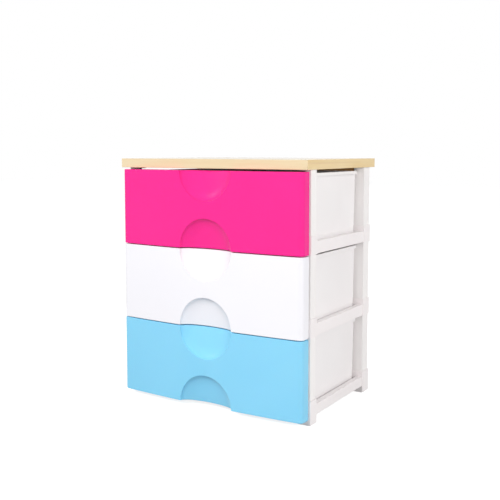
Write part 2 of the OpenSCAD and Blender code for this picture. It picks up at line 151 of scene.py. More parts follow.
def mirrored(bm):
    """Adds the left-hand half."""
    bmesh.ops.mirror(bm, geom=bm.verts[:] + bm.edges[:] + bm.faces[:], matrix=Matrix.Identity(4),
                     merge_dist=0, axis="X")


def piece(bm, name, material, slot, body, *nodes):
    """Turns a bmesh in millimetres into a finished piece that rides on its body."""
    bmesh.ops.recalc_face_normals(bm, faces=bm.faces)
    bmesh.ops.translate(bm, vec=(0, FRONT_EDGE, 0), verts=bm.verts)
    bmesh.ops.scale(bm, vec=(MM, MM, MM), verts=bm.verts)
    mesh = bpy.data.meshes.new(name)
    bm.to_mesh(mesh)
    bm.free()
    mesh.shade_smooth()
    mesh.set_sharp_from_angle(angle=radians(35))
    mesh.materials.append(material)
    made = bpy.data.objects.new(name, mesh)
    bpy.context.scene.collection.objects.link(made)
    weigh = made.modifiers.new("flat faces stay flat", "WEIGHTED_NORMAL")
    weigh.keep_sharp = True
    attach(made, body)
    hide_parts(*nodes)
    return made


def tint(red, green, blue):
    """A colour given as bytes, as the shader wants it."""
    return tuple(((c / 255 + 0.055) / 1.055) ** 2.4 for c in (red, green, blue)) + (1.0,)


def shader(tree, kind, values=None, **settings):
    """One shader node, with its settings and the values or links of its sockets."""
    made = tree.nodes.new(kind)
    for name, value in settings.items():
        setattr(made, name, value)
    for name, value in (values or {}).items():
        if isinstance(value, bpy.types.NodeSocket):
            tree.links.new(value, made.inputs[name])
        else:
            made.inputs[name].default_value = value
    return made


def blend(tree, factor, first, second):
    """Mixes two colours by a factor; each may be a value or a socket."""
    mix = tree.nodes.new("ShaderNodeMix")
    mix.data_type = "RGBA"
    sockets = (mix.inputs[0], mix.inputs[6], mix.inputs[7])
    for socket, value in zip(sockets, (factor, first, second)):
        if isinstance(value, bpy.types.NodeSocket):
            tree.links.new(value, socket)
        else:
            socket.default_value = value
    return mix.outputs[2]


def spread(tree, value, low, high, to_low, to_high):
    """Spreads a value from one range over another."""
    return shader(tree, "ShaderNodeMapRange", {"Value": value, "From Min": low, "From Max": high,
                                               "To Min": to_low, "To Max": to_high}).outputs[0]


def noise(tree, vector, scale, detail=2.0, rough=0.5, distortion=0.0):
    """Height of a noise pattern."""
    return shader(tree, "ShaderNodeTexNoise",
                  {"Vector": vector, "Scale": scale, "Detail": detail, "Roughness": rough,
                   "Distortion": distortion}).outputs["Fac"]


def moulded_plastic(name, shade, light, gloss, grain=0.1, glow=0.0):
    """Injection-moulded plastic: slow drifts of tone and of gloss from the flow of the melt,
    and a fine spark grain."""
    made = bpy.data.materials.new(name)
    made.use_nodes = True
    tree = made.node_tree
    surface = tree.nodes["Principled BSDF"]
    place = shader(tree, "ShaderNodeTexCoord").outputs["Object"]
    flow = noise(tree, place, 4.0, distortion=0.6)
    tree.links.new(blend(tree, spread(tree, flow, 0.3, 0.7, 0.0, 1.0), shade, light),
                   surface.inputs["Base Color"])
    sheen = noise(tree, place, 11.0, detail=3.0, rough=0.6, distortion=1.0)
    tree.links.new(spread(tree, sheen, 0.3, 0.7, gloss, gloss + 0.05),
                   surface.inputs["Roughness"])
    fine = shader(tree, "ShaderNodeBump", {"Height": noise(tree, place, 1500.0),
                                           "Strength": grain, "Distance": 0.0002})
    tree.links.new(fine.outputs[0], surface.inputs["Normal"])
    surface.inputs["IOR"].default_value = 1.49
    surface.inputs["Specular IOR Level"].default_value = 0.15
    if glow:
        surface.inputs["Subsurface Weight"].default_value = glow
        surface.inputs["Subsurface Scale"].default_value = 0.004
    return made


frame_plastic = moulded_plastic("frame polypropylene", tint(249, 243, 243), tint(251, 246, 246),
                                0.36)


def sleeve(bm, plan, foot):
    """A corner sleeve with a socket above and one below; at the base it runs down as a foot."""
    (x0, y0), (x1, y1) = plan
    low = -FOOT_H if foot else 0.0
    part = bmesh.new()
    made = block(part, (x0, y0, low), (x1, y1, SLEEVE_H))
    rounded(part, edges_of(made, "Z"), SLEEVE_CORNER_R, 4)
    rims = [e for e in part.edges if e.calc_face_angle() > 1 and e.verts[0].co.z == e.verts[1].co.z]
    rounded(part, rims, SLEEVE_RIM_R, 2)
    hollow_out(part, SLEEVE_H, SLEEVE_WALL - SLEEVE_RIM_R, SOCKET)
    hollow_out(part, low, SLEEVE_WALL - SLEEVE_RIM_R, low - SOCKET)
    joined(bm, part)
    if foot:
        mid_x, mid_y = (x0 + x1) / 2, (y0 + y1) / 2
        block(bm, (x0 + 1, mid_y - RIB / 2, low + 0.2), (x1 - 1, mid_y + RIB / 2, SOCKET))
        block(bm, (mid_x - RIB / 2, y0 + 1, low + 0.2), (mid_x + RIB / 2, y1 - 1, SOCKET))


def side_rail(bm, low):
    """Side rail of the right-hand side, with the runner shelf, its guide rib and front stop."""
    front, rear = RAIL_Y
    sunk = RAIL_X - OVERLAP
    soft_block(bm, (RAIL_X - RAIL_WALL, front, low), (RAIL_X, rear, RAIL_TOP), RAIL_EDGE_R)
    soft_block(bm, (LEDGE_X, front, RAIL_TOP - RAIL_WALL), (sunk, rear, RAIL_TOP - 0.05),
               LEDGE_EDGE_R)
    soft_block(bm, (SHELF_X, front, SHELF_Z - RAIL_WALL), (sunk, rear, SHELF_Z))
    soft_block(bm, (SHELF_X, SHELF_FRONT, SHELF_Z - RAIL_WALL), (CROSS_X, front + 1, SHELF_Z))
    soft_block(bm, (SHELF_X, SHELF_FRONT, SHELF_LIP_Z),
               (CROSS_X, SHELF_FRONT + RAIL_WALL, SHELF_Z))
    soft_block(bm, (GUIDE_X[0], front, SHELF_Z - 1), (GUIDE_X[1], rear, SHELF_Z + GUIDE_H))
    soft_block(bm, (STOP_X[0], STOP_Y[0], SHELF_Z - 1), (STOP_X[1], STOP_Y[1], SHELF_Z + GUIDE_H))
    root, under, tip = RAIL_X - RAIL_WALL / 2, SHELF_Z - RAIL_WALL / 2, SHELF_X + 2
    first, last = FRONT_SLEEVE[1][1], REAR_SLEEVE[0][1]
    for i in range(1, GUSSETS + 1):
        y = first + (last - first) * i / (GUSSETS + 1) - RIB / 2
        prism(bm, [(root, y, low + 1), (root, y, under), (tip, y, under),
                   (tip, y, GUSSET_TIP_Z), (GUSSET_FOOT_X, y, low + 1)], (0, RIB, 0))


def cross_rail(bm):
    """Cross rail behind the drawer fronts: a channel open underneath, with ribs across it."""
    part = bmesh.new()
    made = block(part, (-CROSS_X, CROSS_Y[0], 0.0), (CROSS_X, CROSS_Y[1], CROSS_H))
    rounded(part, edges_of(made, "X"), RAIL_EDGE_R)
    hollow_out(part, 0.0, RAIL_WALL - RAIL_EDGE_R, RAIL_WALL - CROSS_H)
    joined(bm, part)
    for i in range(1, CROSS_RIBS + 1):
        x = -CROSS_X + 2 * CROSS_X * i / (CROSS_RIBS + 1)
        block(bm, (x - RIB / 2, CROSS_Y[0] + 1, 0.3), (x + RIB / 2, CROSS_Y[1] - 1, CROSS_H - 1))


def rear_rail(bm, low):
    """Rail across the back: an upright plate with a top flange and a ribbed inner shelf."""
    sunk = REAR_Y - OVERLAP
    soft_block(bm, (-REAR_X, REAR_Y - RAIL_WALL, low), (REAR_X, REAR_Y, RAIL_TOP), RAIL_EDGE_R)
    soft_block(bm, (-REAR_X, REAR_LEDGE_Y, RAIL_TOP - RAIL_WALL), (REAR_X, sunk, RAIL_TOP - 0.05),
               LEDGE_EDGE_R)
    soft_block(bm, (-REAR_X, REAR_SHELF_Y, SHELF_Z - RAIL_WALL), (REAR_X, sunk, SHELF_Z))
    root, under, tip = REAR_Y - 1, SHELF_Z - 1, REAR_SHELF_Y + 2
    for i in range(1, REAR_RIBS + 1):
        x = -REAR_X + 2 * REAR_X * i / (REAR_RIBS + 1) - RIB / 2
        prism(bm, [(x, root, low + 1), (x, REAR_RIB_FOOT_Y, low + 1), (x, tip, GUSSET_TIP_Z),
                   (x, tip, under), (x, root, under)], (RIB, 0, 0))


def front_foot(bm):
    """Inner part of a front foot, open underneath."""
    part = bmesh.new()
    (_, front), (_, rear) = FRONT_SLEEVE
    made = block(part, (FRONT_FOOT_X, front, -FOOT_H), (CROSS_X, rear, CROSS_H))
    rounded(part, edges_of(made, "Z"), FOOT_CORNER_R, 3)
    hollow_out(part, -FOOT_H, SLEEVE_WALL, RAIL_WALL - CROSS_H - FOOT_H)
    joined(bm, part)


for ring, ring_z in RING_Z.items():
    on_floor = ring == "base_frame"
    rail_low = RAIL_LOW[ring]
    bm = bmesh.new()
    sleeve(bm, FRONT_SLEEVE, on_floor)
    sleeve(bm, REAR_SLEEVE, on_floor)
    side_rail(bm, rail_low)
    if on_floor:
        front_foot(bm)
    mirrored(bm)
    cross_rail(bm)
    rear_rail(bm, rail_low)
    bmesh.ops.translate(bm, vec=(0, 0, ring_z), verts=bm.verts)
    piece(bm, ring + "_moulding", frame_plastic, "frame", "frame", ring)

# ---- Posts ----
# Twelve posts plug into the sleeves. Each is a white moulded channel, open to the inside, with
# a shallow groove down its outer face and ribs across it. The topmost four end in a tab that
# takes a screw up into the board.
POST_WALL = 2.2
POST_CORNER_R = 1.3
POST_EDGE_R = 0.5
POST_RIBS = 4
GROOVE = 0.6
TAB = 3.0
POST_SPAN = {"bottom": (38.0, 234.0), "middle": (237.0, 433.0), "top": (436.0, 613.0)}
post_plastic = moulded_plastic("post polypropylene", tint(248, 244, 243), tint(251, 248, 247),
                               0.34)


def post(bm, front_y, depth, front_leg, rear_leg, span, tab_reach):
    """A right-hand post between two heights; the tab is there only where it has a reach."""
    x, w, land = RAIL_X, POST_WALL, depth / 4
    plan = [(x, 0), (x - front_leg, 0), (x - front_leg, w), (x - w, w), (x - w, depth - w),
            (x - rear_leg, depth - w), (x - rear_leg, depth), (x, depth), (x, depth - land),
            (x - GROOVE, depth - land - GROOVE), (x - GROOVE, land + GROOVE), (x, land)]
    low, high = span
    part = bmesh.new()
    prism(part, [(px, front_y + py, low) for px, py in plan], (0, 0, high - low))
    outer = [e for e in edges_of(part.verts, "Z")
             if e.verts[0].co.x > x - 0.01 and min(abs(e.verts[0].co.y - front_y),
                                                   abs(e.verts[0].co.y - front_y - depth)) < 0.01]
    rounded(part, outer, POST_CORNER_R, 3)
    inner = [e for e in edges_of(part.verts, "Z") if e.verts[0].co.x < x - front_leg / 2
             or e.verts[0].co.x < x - rear_leg + 0.1]
    rounded(part, inner, POST_EDGE_R, 2)
    joined(bm, part)
    for i in range(1, POST_RIBS + 1):
        z = low + (high - low) * i / (POST_RIBS + 1)
        block(bm, (x - min(front_leg, rear_leg) + 1, front_y + w / 2, z),
              (x - w / 2, front_y + depth - w / 2, z + RIB))
    if tab_reach:
        soft_block(bm, (x - tab_reach, front_y + 0.05, high - TAB),
                   (x - 1.5, front_y + depth - 0.05, high - 0.02))


for tier, span in POST_SPAN.items():
    top = tier == "top"
    for where, front_y, depth, front_leg, rear_leg, reach in (
            ("front", 29.0, 28.5, 15.5, 15.5, 31.5), ("rear", 335.0, 34.0, 30.0, 12.0, 30.0)):
        for side in ("right", "left"):
            bm = bmesh.new()
            post(bm, front_y, depth, front_leg, rear_leg, span, reach if top else 0)
            if side == "left":
                bmesh.ops.scale(bm, vec=(-1, 1, 1), verts=bm.verts)
            name = f"post_{tier}_{where}_{side}"
            piece(bm, name + "_moulding", post_plastic, "post", "frame", name)

# ---- Top board ----
# A particle board faced with a pale cream maple print, with bands of a deeper tan maple print
# glued round its edges; the side bands are slightly darker and yellower than the front and rear
# ones. The bands are cut flush and their long edges are scraped round.
BOARD_Z = (613.0, 636.5)
BOARD_X = 280.0
BOARD_Y = 392.0
BAND = 1.0
BAND_EDGE_R = 0.85


def maple_print(name, grain, pale, tan, line, gloss):
    """Printed maple: long soft figure, thin growth lines and short pores along the grain."""
    made = bpy.data.materials.new(name)
    made.use_nodes = True
    tree = made.node_tree
    surface = tree.nodes["Principled BSDF"]
    place = shader(tree, "ShaderNodeTexCoord").outputs["Object"]

    def stretched(along, across):
        scale = [across, across, across]
        scale["XYZ".index(grain)] = along
        return shader(tree, "ShaderNodeMapping", {"Vector": place, "Scale": scale,
                                                  "Location": (0.37, 0.21, 0.11)}).outputs[0]

    figure = noise(tree, stretched(2.2, 16.0), 1.0, detail=4.0, rough=0.6, distortion=1.2)
    growth = noise(tree, stretched(1.6, 95.0), 1.0, detail=3.0, rough=0.65, distortion=0.8)
    pores = noise(tree, stretched(40.0, 900.0), 1.0, rough=0.6)
    tone = blend(tree, spread(tree, figure, 0.32, 0.68, 0.0, 1.0), pale, tan)
    tone = blend(tree, spread(tree, growth, 0.52, 0.72, 0.0, 0.45), tone, line)
    tone = blend(tree, spread(tree, pores, 0.6, 0.75, 0.0, 0.3), tone, line)
    tree.links.new(tone, surface.inputs["Base Color"])
    tree.links.new(spread(tree, figure, 0.3, 0.7, gloss, gloss + 0.1), surface.inputs["Roughness"])
    relief = shader(tree, "ShaderNodeBump", {"Height": pores, "Strength": 0.15, "Distance": 0.0002})
    tree.links.new(relief.outputs[0], surface.inputs["Normal"])
    return made


board_print = maple_print("maple foil", "X", tint(252, 246, 234), tint(248, 238, 218),
                          tint(232, 212, 180), 0.22)
long_band_print = maple_print("maple band along", "X", tint(236, 219, 185), tint(230, 208, 168),
                              tint(228, 196, 152), 0.4)
side_band_print = maple_print("maple band across", "Y", tint(240, 216, 168), tint(234, 205, 151),
                              tint(224, 190, 146), 0.4)

bm = bmesh.new()
block(bm, (-BOARD_X + BAND, BAND, BOARD_Z[0]), (BOARD_X - BAND, BOARD_Y - BAND, BOARD_Z[1]))
for x in range(-200, 201, 100):
    bmesh.ops.bisect_plane(bm, geom=bm.verts[:] + bm.edges[:] + bm.faces[:], plane_co=(x, 0, 0),
                           plane_no=(1, 0, 0))
piece(bm, "board_panel", board_print, "board", "frame", "top_board")

for name, material, low, high in (
        ("front", long_band_print, (-BOARD_X, 0), (BOARD_X, BAND)),
        ("rear", long_band_print, (-BOARD_X, BOARD_Y - BAND), (BOARD_X, BOARD_Y)),
        ("left", side_band_print, (-BOARD_X, BAND), (-BOARD_X + BAND, BOARD_Y - BAND)),
        ("right", side_band_print, (BOARD_X - BAND, BAND), (BOARD_X, BOARD_Y - BAND))):
    bm = bmesh.new()
    made = block(bm, (*low, BOARD_Z[0]), (*high, BOARD_Z[1]))
    wide = name in ("front", "rear")
    axis, run = (1, "X") if wide else (0, "Y")
    outer = {"front": 0.0, "rear": BOARD_Y, "left": -BOARD_X, "right": BOARD_X}[name]
    lips = [e for e in edges_of(made, run, "Z") if all(v.co[axis] == outer for v in e.verts)
            and (wide or e.verts[0].co.z == e.verts[1].co.z)]
    rounded(bm, lips, BAND_EDGE_R, 3)
    piece(bm, f"board_band_{name}", material, "edge_band", "frame", "edge_band_" + name)

# ---- Rear batten ----
# A sawn batten of raw pine lies under the back of the board, between the rear posts. Two long
# screws pull it against the board. It keeps the board flat and closes the gap at the back.
BATTEN_X = 244.5
BATTEN_Y = (342.0, 362.0)
BATTEN_H = 15.0
BATTEN_EDGE_R = 1.5


def raw_pine():
    """Sawn softwood: early and late wood in long streaks, with fuzzy saw marks across."""
    made = bpy.data.materials.new("raw pine")
    made.use_nodes = True
    tree = made.node_tree
    surface = tree.nodes["Principled BSDF"]
    place = shader(tree, "ShaderNodeTexCoord").outputs["Object"]
    along = shader(tree, "ShaderNodeMapping", {"Vector": place, "Scale": (2.0, 120.0, 120.0)})
    rings = noise(tree, along.outputs[0], 1.0, detail=3.0, rough=0.6, distortion=0.8)
    across = shader(tree, "ShaderNodeMapping", {"Vector": place, "Scale": (700.0, 20.0, 20.0)})
    marks = noise(tree, across.outputs[0], 1.0)
    tone = blend(tree, spread(tree, rings, 0.35, 0.65, 0.0, 1.0), tint(214, 168, 110),
                 tint(178, 122, 70))
    tree.links.new(tone, surface.inputs["Base Color"])
    tree.links.new(spread(tree, marks, 0.3, 0.7, 0.6, 0.8), surface.inputs["Roughness"])
    saw = shader(tree, "ShaderNodeBump", {"Height": marks, "Strength": 0.3, "Distance": 0.0005})
    tree.links.new(saw.outputs[0], surface.inputs["Normal"])
    return made


bm = bmesh.new()
made = block(bm, (-BATTEN_X, BATTEN_Y[0], BOARD_Z[0] - BATTEN_H),
             (BATTEN_X, BATTEN_Y[1], BOARD_Z[0]))
lower_edges = [e for e in edges_of(made, "X") if e.verts[0].co.z < BOARD_Z[0] - 1]
rounded(bm, lower_edges, BATTEN_EDGE_R, 2)
piece(bm, "batten_of_pine", raw_pine(), "batten", "frame", "rear_batten")

# ---- Board screws ----
# Six zinc-plated pan-head screws hold the board: four through the post tabs and two long ones
# through the batten. Their heads lie underneath, with a recess for the driver.
SCREWS_AT = ((251.5, 43.25, TAB), (260.0, 352.0, TAB), (BATTEN_X / 2, 352.0, BATTEN_H))
BITE = 12.0
SHANK_R = 2.0
HEAD_R = 4.0
HEAD_H = 2.5
TURNED_STEPS = 24
DRIVE_DEPTH = 1.4


def zinc():
    """Zinc plating: a bright, slightly cloudy skin."""
    made = bpy.data.materials.new("zinc plating")
    made.use_nodes = True
    tree = made.node_tree
    surface = tree.nodes["Principled BSDF"]
    surface.inputs["Metallic"].default_value = 1.0
    place = shader(tree, "ShaderNodeTexCoord").outputs["Object"]
    cloud = noise(tree, place, 900.0, detail=3.0)
    tree.links.new(blend(tree, cloud, tint(206, 208, 212), tint(226, 226, 222)),
                   surface.inputs["Base Color"])
    tree.links.new(spread(tree, cloud, 0.3, 0.7, 0.22, 0.42), surface.inputs["Roughness"])
    return made


def screw(bm, x, y, clamped):
    """One screw with its head under what it clamps, turned round its axis; the recess for the
    driver is a plain cone."""
    part = bmesh.new()
    reach = clamped + BITE
    profile = [(0.9, reach), (SHANK_R, reach - 2.5), (SHANK_R, 0.0), (HEAD_R, -0.02),
               (HEAD_R, -1.0), (3.4, -2.1), (2.4, -HEAD_H)]
    start = [part.verts.new((r, 0, h)) for r, h in profile]
    chain = [part.edges.new(pair) for pair in zip(start, start[1:])]
    bmesh.ops.spin(part, geom=start + chain, cent=(0, 0, 0), axis=(0, 0, 1), angle=radians(360),
                   steps=TURNED_STEPS, use_merge=True)
    bmesh.ops.remove_doubles(part, verts=part.verts, dist=0.001)
    bmesh.ops.holes_fill(part, edges=part.edges, sides=0)
    bmesh.ops.recalc_face_normals(part, faces=part.faces)
    end = min(part.faces, key=lambda f: f.calc_center_median().z)
    bmesh.ops.inset_region(part, faces=[end], thickness=0.9, use_even_offset=True)
    sunk = bmesh.ops.extrude_discrete_faces(part, faces=[end])["faces"][0]
    bmesh.ops.translate(part, vec=(0, 0, DRIVE_DEPTH), verts=sunk.verts)
    bmesh.ops.scale(part, vec=(0.3, 0.3, 1), verts=sunk.verts)
    bmesh.ops.translate(part, vec=(x, y, BOARD_Z[0] - clamped), verts=part.verts)
    joined(bm, part)


bm = bmesh.new()
for x, y, clamped in SCREWS_AT:
    for side in (-1, 1):
        screw(bm, side * x, y, clamped)
piece(bm, "board_screw_set", zinc(), "screw", "frame", "board_screws")

# ---- Drawer boxes ----
# Each drawer is a deep white tub, moulded with walls that lean in towards the floor, round rear
# corners and a rolled rim. Its front wall is a wide plate with slots for the hooks of the front.
# Skids under the floor ride on the runner shelves, and lugs at the back meet the stops.
TIER_Z = {"bottom": 13.5, "middle": 212.5, "top": 411.5}
BOX_WALL = 2.3
PLATE_Y = (23.2, 25.5)
PLATE_X = 269.0
PLATE_Z = (3.0, 193.5)
PLATE_R = 3.0
BOX_TOP = 192.0
BOX_FLOOR = 20.8
BOX_X = 253.5
BOX_REAR = 327.0
BOX_LEAN = 2.46
BOX_R = 6.0
BOX_FLOOR_R = 2.0
RIM_W = 4.5
RIM_H = 8.0
RIM_WALL = 1.8
RIM_T = 2.0
RIM_R = 0.8
SKID = ((241.5, 27.2, 17.8), (249.5, 318.5, 21.8))
LUG = ((249.0, 312.0, 19.5), (255.8, 318.0, 26.5))
SKID_EDGE_R = 0.6
FLOOR_RIBS = 5
FLOOR_RIB_X = 248.0
FLOOR_RIB_LOW = 18.3
HOOKS = [(x, z) for x in (-215.0, -106.0, 106.0, 215.0) for z in (45.0, 151.5)]
SLOT_HALF = 7.5
SLOT_BELOW = 1.6
SLOT_ABOVE = 3.1
box_plastic = moulded_plastic("drawer box polypropylene", tint(245, 241, 241),
                              tint(249, 246, 246), 0.38)


def tub(bm):
    """The tub, drawn from a block: leaned, rounded, opened at the top and given its wall."""
    part = bmesh.new()
    made = block(part, (-BOX_X, PLATE_Y[0], BOX_FLOOR), (BOX_X, BOX_REAR, BOX_TOP))
    low = [v for v in made if v.co.z < BOX_TOP / 2]
    bmesh.ops.scale(part, vec=(1 - BOX_LEAN / BOX_X, 1, 1), verts=low)
    low_rear = [v for v in low if v.co.y > BOX_REAR / 2]
    bmesh.ops.translate(part, vec=(0, -BOX_LEAN, 0), verts=low_rear)
    rear_corners = [e for e in edges_of(made, "Z") if e.verts[0].co.y > BOX_REAR / 2]
    rounded(part, rear_corners, BOX_R, 6)
    base = [e for e in part.edges if all(v.co.z < BOX_FLOOR + 0.1 for v in e.verts)]
    rounded(part, base, BOX_FLOOR_R, 3)
    lid = max(part.faces, key=lambda f: f.calc_center_median().z)
    bmesh.ops.delete(part, geom=[lid], context="FACES_ONLY")
    bmesh.ops.recalc_face_normals(part, faces=part.faces)
    bmesh.ops.solidify(part, geom=part.faces[:], thickness=BOX_WALL)
    joined(bm, part)


def rolled_rim(bm):
    """The rim: its section, led down one side, round the back and up the other."""
    part = bmesh.new()
    x, top = BOX_X - BOX_WALL / 2, BOX_TOP
    reach = RIM_W + BOX_WALL / 2
    section = [(0, 0), (reach, 0), (reach, -RIM_H), (reach - RIM_WALL, -RIM_H),
               (reach - RIM_WALL, -RIM_T), (0, -RIM_T)]
    end = part.faces.new([part.verts.new((x + dx, PLATE_Y[0], top + dz)) for dx, dz in section])
    rear, turn = BOX_REAR - BOX_WALL / 2, BOX_R - BOX_WALL / 2

    def lead(face, vector):
        made = bmesh.ops.extrude_face_region(part, geom=[face])["geom"]
        moved = [v for v in made if isinstance(v, bmesh.types.BMVert)]
        bmesh.ops.translate(part, vec=vector, verts=moved)
        return [f for f in made if isinstance(f, bmesh.types.BMFace)][0]

    def corner(face, centre):
        made = bmesh.ops.spin(part, geom=[face], cent=centre, axis=(0, 0, 1), angle=radians(90),
                              steps=8)["geom_last"]
        return [f for f in made if isinstance(f, bmesh.types.BMFace)][0]

    end = lead(end, (0, rear - turn - PLATE_Y[0], 0))
    end = corner(end, (x - turn, rear - turn, 0))
    end = lead(end, (-2 * (x - turn), 0, 0))
    end = corner(end, (-x + turn, rear - turn, 0))
    lead(end, (0, PLATE_Y[0] - rear + turn, 0))
    bmesh.ops.remove_doubles(part, verts=part.verts, dist=0.001)
    inside = [f for f in part.faces if all(len(e.link_faces) > 2 for e in f.edges)]
    bmesh.ops.delete(part, geom=inside, context="FACES_ONLY")
    bmesh.ops.recalc_face_normals(part, faces=part.faces)
    lips = [e for e in part.edges if len(e.link_faces) == 2 and e.is_convex
            and e.calc_face_angle() > 1 and min(v.co.z for v in e.verts) > top - 0.1
            and sum(abs(v.co.y - PLATE_Y[0]) for v in e.verts) > 1]
    rounded(part, lips, RIM_R, 3)
    joined(bm, part)


def slotted_plate(bm):
    """Front wall of the box, cut through where the hooks of the front snap in."""
    part = bmesh.new()
    made = block(part, (-PLATE_X, PLATE_Y[0], PLATE_Z[0]), (PLATE_X, PLATE_Y[1], PLATE_Z[1]))
    rounded(part, edges_of(made, "Y"), PLATE_R, 3)
    slots = [((x - SLOT_HALF, z - SLOT_BELOW), (x + SLOT_HALF, z + SLOT_ABOVE)) for x, z in HOOKS]
    for x in sorted({c[0] for s in slots for c in s}):
        bmesh.ops.bisect_plane(part, geom=part.verts[:] + part.edges[:] + part.faces[:],
                               plane_co=(x, 0, 0), plane_no=(1, 0, 0))
    for z in sorted({c[1] for s in slots for c in s}):
        bmesh.ops.bisect_plane(part, geom=part.verts[:] + part.edges[:] + part.faces[:],
                               plane_co=(0, 0, z), plane_no=(0, 0, 1))
    for (x0, z0), (x1, z1) in slots:
        cut = [f for f in part.faces if abs(f.normal.y) > 0.9
               and x0 < f.calc_center_median().x < x1 and z0 < f.calc_center_median().z < z1]
        loops = [e for f in cut for e in f.edges]
        bmesh.ops.delete(part, geom=cut, context="FACES_ONLY")
        bmesh.ops.bridge_loops(part, edges=loops)
    joined(bm, part)


def box_underside(bm):
    """Skids, the ribs between them and the stop lugs."""
    for side in (-1, 1):
        for low, high in (SKID, LUG):
            xs = sorted((side * low[0], side * high[0]))
            soft_block(bm, (xs[0], *low[1:]), (xs[1], *high[1:]), SKID_EDGE_R)
    front, rear, top = SKID[0][1], SKID[1][1], SKID[1][2]
    for i in range(1, FLOOR_RIBS + 1):
        y = front + (rear - front) * i / (FLOOR_RIBS + 1)
        block(bm, (-FLOOR_RIB_X, y - RIB / 2, FLOOR_RIB_LOW), (FLOOR_RIB_X, y + RIB / 2, top))


for tier, tier_z in TIER_Z.items():
    bm = bmesh.new()
    tub(bm)
    rolled_rim(bm)
    slotted_plate(bm)
    box_underside(bm)
    bmesh.ops.translate(bm, vec=(0, 0, tier_z), verts=bm.verts)
    piece(bm, f"drawer_box_{tier}_moulding", box_plastic, "drawer_box", f"{tier}_drawer",
          f"drawer_box_{tier}")

# ---- Drawer fronts ----
# Each front is a coloured, semi-gloss shell, bowed outward from side to side, that snaps onto
# its box with eight hooks. Two neighbours share a round pull recess at the seam between them,
# with a dished floor that is deepest at the seam and runs out towards the rim.
FRONT_X = 272.0
FRONT_H = 196.5
FACE_Y = -16.0
RETURN_Y = 25.0
FRONT_WALL = 2.6
CORNER_R = 12.0
BOW = 10.0
BOW_X = 266.5
BOW_R = (BOW_X ** 2 + BOW ** 2) / (2 * BOW)
BOW_FULL_Y = -5.0
SEAM = 1.25
RECESS_R = 78.0
RECESS_DEEP = 27.0
RECESS_SHALLOW = 12.0
RECESS_SOFT = 28.0
RECESS_POWER = 2.4
RECESS_RINGS = 9
DISH_R = 230.0
EDGE_R = 2.4
BOW_STEP = 12
HOOK_HALF = 7.0
HOOK_T = 2.2
HOOK_END = 29.0
HOOK_EDGE_R = 0.3
BARB = ((25.7, 1.0), (25.7, 2.6), (HOOK_END, 1.0))
ORDER_ALONG = (1.0, 0.37, 0.73)


def temporary(bm, name):
    """A bmesh as an object for a cut."""
    mesh = bpy.data.meshes.new(name)
    bmesh.ops.recalc_face_normals(bm, faces=bm.faces)
    bm.to_mesh(mesh)
    bm.free()
    made = bpy.data.objects.new(name, mesh)
    bpy.context.scene.collection.objects.link(made)
    return made


def cut(target, tool, operation):
    """Cuts or crosses one object with another, and takes the tool away."""
    modifier = target.modifiers.new("cut", "BOOLEAN")
    modifier.operation = operation
    modifier.solver = "EXACT"
    modifier.object = tool
    shapes = bpy.context.evaluated_depsgraph_get()
    mesh = bpy.data.meshes.new_from_object(target.evaluated_get(shapes))
    target.modifiers.clear()
    target.data = mesh
    bpy.data.objects.remove(tool)


def recess_depth(x, z):
    """Depth of the dished floor at a place, counted from the middle of the recess."""
    tilt = atan((RECESS_DEEP - RECESS_SHALLOW) / RECESS_R)
    return RECESS_DEEP - tan(tilt) * z - (DISH_R - sqrt(DISH_R ** 2 - x * x)) / cos(tilt)


def recess_tool(seam_z, upward):
    """The round recess at a seam: rings that fall steeply from the rim and level out."""
    bm = bmesh.new()
    upright = Matrix.Translation((0, FACE_Y - 5, 0)) @ Matrix.Rotation(radians(90), 4, "X")
    bmesh.ops.create_circle(bm, cap_ends=True, segments=64, radius=RECESS_R, matrix=upright)
    ring, radius = bm.edges[:], RECESS_R
    for step in range(1, RECESS_RINGS + 3):
        level = step - RECESS_RINGS
        inward = 1 - cos(radians(90) * step / RECESS_RINGS) if level < 1 else 1 + level * 0.4
        fall = (1 - max(0.0, 1 - inward) ** RECESS_POWER) ** (1 / RECESS_POWER)
        made = bmesh.ops.extrude_edge_only(bm, edges=ring)["geom"]
        verts = [v for v in made if isinstance(v, bmesh.types.BMVert)]
        shrink = (RECESS_R - RECESS_SOFT * inward) / radius
        bmesh.ops.scale(bm, vec=(shrink, 1, shrink), verts=verts)
        for v in verts:
            v.co.y = FACE_Y + fall * recess_depth(v.co.x, v.co.z)
        ring, radius = [e for e in made if isinstance(e, bmesh.types.BMEdge)], radius * shrink
    bmesh.ops.edgeloop_fill(bm, edges=ring)
    for x in range(-24, 25, 8):
        bmesh.ops.bisect_plane(bm, geom=bm.verts[:] + bm.edges[:] + bm.faces[:],
                               plane_co=(x, 0, 0), plane_no=(1, 0, 0))
    turn = Matrix.Scale(1 if upward else -1, 4, (0, 0, 1))
    bmesh.ops.transform(bm, matrix=Matrix.Translation((0, 0, seam_z)) @ turn, verts=bm.verts)
    return temporary(bm, "recess")


def bow_at(x):
    """How far the bowed face lies behind its middle."""
    return BOW_R - sqrt(BOW_R ** 2 - min(abs(x), BOW_X) ** 2)


